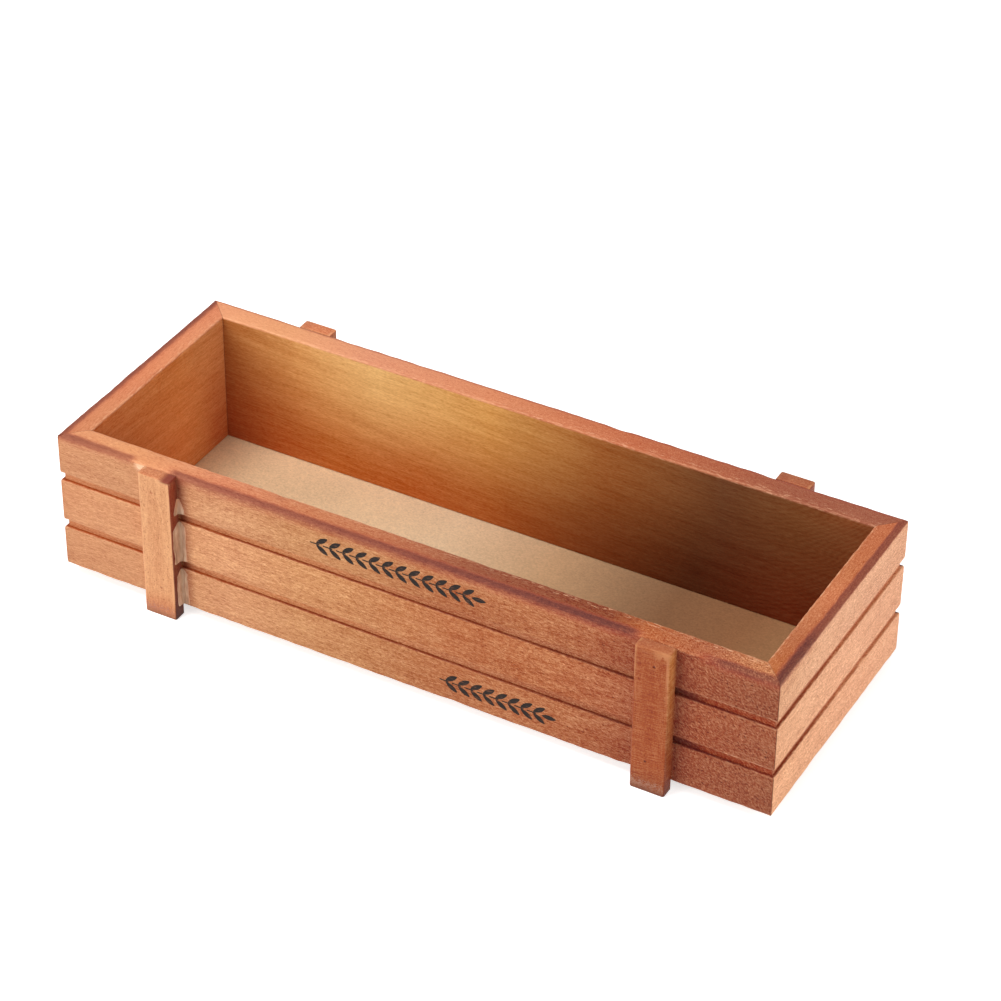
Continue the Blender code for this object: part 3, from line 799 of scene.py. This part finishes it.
# Glue. What squeezed out along one side of the front left batten was wiped along the joint and
# dried there, one film on each slat.

GLUE_X = -BATTEN_X + BATTEN_WIDTH / 2
GLUE_Y = -BOX_WIDTH / 2
GLUE_SECTION = [(0, 0), (3.0, 0), (2.8, -0.05), (1.1, -0.20), (0.30, -1.0), (0.08, -3.5), (0, -3.6)]
GLUE_STATIONS = 30
# the share of its section that a film fills at its top and foot, and the height in which it
# reaches the whole of it over its foot
TOP_SHARE = 0.30
FOOT_SHARE = 0.85
FOOT_RISE = 0.002
# how much of its section a film fills on the board and on the batten: on average, by how much
# more or less, and over what length that comes and goes
SPREAD = 0.93
SPREAD_SWING = 0.22
SPREAD_WAVE = 0.0050
CLIMB = 0.88
CLIMB_SWING = 0.20
CLIMB_WAVE = 0.0060
# each film's lower and upper end, the height over which it thins out at the top, and its spread
# over the batten's side
GLUE_RUNS = {
    "upper": (UPPER_KERF_Z + KERF_WIDTH + 0.0003, 0.0540, 0.0075, 0.95),
    "middle": (LOWER_KERF_Z + KERF_WIDTH + 0.0003, UPPER_KERF_Z - 0.0004, 0.0030, 1.27),
    "lower": (EDGE_Z + 0.0010, LOWER_KERF_Z - 0.0004, 0.0030, 1.06),
}


def dried_glue():
    """Dried wood glue, wiped thin: brownish grey, cloudy and half glossy, with upright streaks."""
    material, add, shader = start_material("dried wood glue")
    place = add("TexCoord", {}, out="Object")
    stretched = add("Mapping", {"Vector": place, "Scale": (700, 700, 170)})
    cloud = add("TexNoise", {"Vector": stretched, "Scale": 1.0, "Detail": 3.0})
    surface = add("ValToRGB", [cloud], stops=[
        (0.28, "8E664A"), (0.44, "A67C5E"), (0.56, "B88E70"), (0.72, "C6A688")])
    # darker in the corner, where it is thick, and thin at its edges, where the wood shows through
    across, deep, height = add("SeparateXYZ", [place]).node.outputs
    off_batten = add("Math", [across, GLUE_X], operation="SUBTRACT")
    off_board = add("Math", [GLUE_Y, deep], operation="SUBTRACT")
    off_corner = add("Math", [off_batten, off_board], operation="MAXIMUM")
    thick = add("MapRange", [off_corner, 0.0004, 0.0018, 0.65, 0.0], interpolation_type="SMOOTHSTEP")
    thin = add("MapRange", [off_batten, 0.0021, 0.0030, 0.0, 0.85], interpolation_type="SMOOTHSTEP")
    thin_top = add("MapRange", [height, 0.0485, 0.0535, 0.0, 0.70])
    thin = add("Math", [thin, thin_top], operation="MAXIMUM")
    for shown, layer in ((thick, "8A6848"), (thin, "C08058")):
        surface = add("Mix", {0: shown, 6: surface, 7: colour(layer)}, out=2, data_type="RGBA")
    fill(shader, {
        "Base Color": surface, "Roughness": 0.42,
        "Normal": add("Bump", {"Height": cloud, "Strength": 0.3, "Distance": 0.0002})})
    return material


glue = dried_glue()
for place, (low, high, thinning, side_spread) in GLUE_RUNS.items():
    bm = bmesh.new()
    end = bm.faces.new([bm.verts.new((x / 1000, y / 1000, low)) for x, y in GLUE_SECTION])
    extrude(bm, [end], (0, 0, high - low))
    bmesh.ops.subdivide_edges(
        bm, edges=long_edges(bm, 2, (high - low) / 2), cuts=GLUE_STATIONS, use_grid_fill=True)
    for vert in bm.verts:
        z = vert.co.z
        taper = min(1.0, (high - z) / thinning + TOP_SHARE, (z - low) / FOOT_RISE + FOOT_SHARE)
        spread = SPREAD + SPREAD_SWING * noise.noise(Vector((3.3, 0.7, z / SPREAD_WAVE)))
        climb = CLIMB + CLIMB_SWING * noise.noise(Vector((9.1, 4.2, z / CLIMB_WAVE)))
        vert.co.x *= min(1.0, spread) * taper
        vert.co.y *= min(1.0, climb) * side_spread * taper
    bmesh.ops.translate(bm, vec=(GLUE_X, GLUE_Y, 0), verts=bm.verts)
    add_piece(f"front_left_batten_glue_{place}", bm, glue)


# Stencil. A plain sprig of leaves, printed in black ink through a stencil on the upper slat, and a
# shorter one on the lower slat. The ink is thin and slightly worn.

INK_LIFT = 0.00004
INK_SINK = 0.00006
LEAF_LENGTH = 0.0058
LEAF_WIDTH = 0.0021
LEAF_SIDES = 20
LEAF_POINT = 1.6
LEAF_STALK = 0.12
LEAF_TILT = radians(34)
LEAF_SPACING = 0.95
STEM_WIDTH = 0.0005
# shares of a pair's length of stem: the pair's own place, the printed piece of stem, and its shift
PAIR_PLACE = 0.35
STEM_SHARE = 0.72
STEM_SHIFT = 0.02


def stencil_ink():
    """Black stencil ink on wood: matt, brown-black, thinner where the grain stands up."""
    material, add, shader = start_material("black stencil ink")
    stretched = add("Mapping", {"Vector": add("TexCoord", {}, out="Object"), "Scale": (450, 1400, 1400)})
    thin = add("TexNoise", {"Vector": stretched, "Scale": 1.0, "Detail": 3.0})
    surface = add("ValToRGB", [thin], stops=[(0.50, "1E1815"), (0.62, "30221C"), (0.74, "704632")])
    fill(shader, {
        "Base Color": surface, "Roughness": 0.7, "Specular IOR Level": 0.2,
        "Normal": add("Bump", {"Height": thin, "Strength": 0.3, "Distance": 0.0001})})
    return material


def leaf(bm, x, z, tilt):
    """Adds one flat pointed leaf whose foot is at x, z."""
    made = bmesh.ops.create_circle(bm, cap_ends=True, segments=LEAF_SIDES, radius=0.5)
    for vert in made["verts"]:
        vert.co.y *= (1.0 - LEAF_POINT * vert.co.x ** 2) * LEAF_WIDTH
        vert.co.x = (vert.co.x + 0.5 + LEAF_STALK) * LEAF_LENGTH
    bmesh.ops.rotate(bm, verts=made["verts"], cent=(0, 0, 0), matrix=Matrix.Rotation(tilt, 3, "Z"))
    bmesh.ops.translate(bm, verts=made["verts"], vec=(x, z, 0))


def sprig(name, start, end, z):
    """Prints pairs of leaves along a broken stem, and one leaf at its end."""
    bm = bmesh.new()
    pairs = round((end - start - LEAF_LENGTH) / (LEAF_LENGTH * LEAF_SPACING))
    step = (end - start - LEAF_LENGTH) / pairs
    for number in range(pairs):
        foot = start + (number + PAIR_PLACE) * step
        leaf(bm, foot, z, LEAF_TILT)
        leaf(bm, foot, z, -LEAF_TILT)
        made = bmesh.ops.create_grid(bm, x_segments=4, y_segments=1, size=0.5)
        bmesh.ops.scale(bm, vec=(step * STEM_SHARE, STEM_WIDTH, 1), verts=made["verts"])
        bmesh.ops.translate(bm, vec=(foot - step * STEM_SHIFT, z, 0), verts=made["verts"])
    leaf(bm, end - LEAF_LENGTH, z, 0)
    extrude(bm, bm.faces[:], (0, 0, INK_LIFT + INK_SINK))
    bmesh.ops.rotate(bm, verts=bm.verts, cent=(0, 0, 0), matrix=Matrix.Rotation(pi / 2, 3, "X"))
    bmesh.ops.translate(bm, vec=(0, -BOX_WIDTH / 2 + INK_SINK, 0), verts=bm.verts)
    add_piece(name, bm, ink)


ink = stencil_ink()
sprig("front_board_stencil_upper", -0.0386, 0.0340, 0.0553)
sprig("front_board_stencil_lower", 0.0158, 0.0632, 0.0130)


# Floor. A plain matt white sheet under the box. The camera sees it as white, and it keeps a faint
# shadow of the box.

FLOOR_SIZE = 6.0
FLOOR_Z = -0.00005
FLOOR_GLOW = 0.64


def seen_directly(add):
    """1 where the camera looks, also off metal and through glass, and 0 where light is gathered."""
    rays = add("LightPath", {}).node.outputs
    seen = add("Math", [rays["Is Camera Ray"], rays["Is Glossy Ray"]], operation="MAXIMUM")
    return add("Math", [seen, rays["Is Transmission Ray"]], operation="MAXIMUM")


floor_material, add, shader = start_material("white floor")
glow = add("Math", [seen_directly(add), FLOOR_GLOW], operation="MULTIPLY")
fill(shader, {
    "Base Color": colour("F2F2F2"), "Roughness": 1.0, "Specular IOR Level": 0.0,
    "Emission Color": colour("FFFFFF"), "Emission Strength": glow})

bm = bmesh.new()
bmesh.ops.create_grid(bm, x_segments=1, y_segments=1, size=FLOOR_SIZE / 2)
bmesh.ops.translate(bm, vec=(0, 0, FLOOR_Z), verts=bm.verts)
add_object("floor", bm, floor_material)


# Light. A white room, which is dimmer as a light than the camera sees it, a large soft lamp above,
# another low on the left of the front, and a smaller one on the right.

ROOM_LIGHT = 0.40

world = bpy.data.worlds.new("white room")
bpy.context.scene.world = world
world.use_nodes = True
add = partial(add_node, world.node_tree)
strength = add("MapRange", [seen_directly(add), 0.0, 1.0, ROOM_LIGHT, 1.0])
fill(world.node_tree.nodes["Background"], {"Color": colour("FFFFFF"), "Strength": strength})


def soft_lamp(name, place, aim, size, power):
    """A round lamp at a place, turned to what it lights."""
    lamp = bpy.data.lights.new(name, "AREA")
    lamp.shape = "DISK"
    lamp.size = size
    lamp.energy = power
    lamp_object = bpy.data.objects.new(name, lamp)
    lamp_object.location = place
    lamp_object.rotation_euler = (Vector(aim) - Vector(place)).to_track_quat("-Z", "Y").to_euler()
    bpy.context.scene.collection.objects.link(lamp_object)


soft_lamp("top lamp", (-0.40, -0.30, 1.20), (-0.06, 0.0, 0.03), 0.6, 8.0)
soft_lamp("front lamp", (-0.55, -1.10, 0.50), (-0.05, 0.0, 0.03), 0.6, 6.0)
soft_lamp("right lamp", (1.10, -0.30, 0.40), (0.1, 0.0, 0.03), 0.5, 4.5)


# Camera. Placed by a fit of the box's corners and kerfs in the photograph.

CAMERA_AZIMUTH = radians(28.769)
CAMERA_ELEVATION = radians(35.906)
CAMERA_ROLL = radians(0.576)
CAMERA_DISTANCE = 1.29658
CAMERA_SIDE_STEP = 0.009497
CAMERA_RISE = 0.043312
CAMERA_LENS = 122.463
CAMERA_SENSOR = 36.0

back = Vector((
    sin(CAMERA_AZIMUTH) * cos(CAMERA_ELEVATION),
    -cos(CAMERA_AZIMUTH) * cos(CAMERA_ELEVATION),
    sin(CAMERA_ELEVATION)))
level = Vector((0, 0, 1)).cross(back).normalized()
upright = back.cross(level)
right = level * cos(CAMERA_ROLL) + upright * sin(CAMERA_ROLL)
top = upright * cos(CAMERA_ROLL) - level * sin(CAMERA_ROLL)

camera_data = bpy.data.cameras.new("camera")
camera_data.sensor_width = CAMERA_SENSOR
camera_data.lens = CAMERA_LENS
camera = bpy.data.objects.new("camera", camera_data)
camera.matrix_world = Matrix.LocRotScale(
    back * CAMERA_DISTANCE + right * CAMERA_SIDE_STEP + top * CAMERA_RISE,
    Matrix((right, top, back)).transposed(), None)
bpy.context.scene.collection.objects.link(camera)
bpy.context.scene.camera = camera
bpy.context.scene.view_settings.view_transform = "Standard"
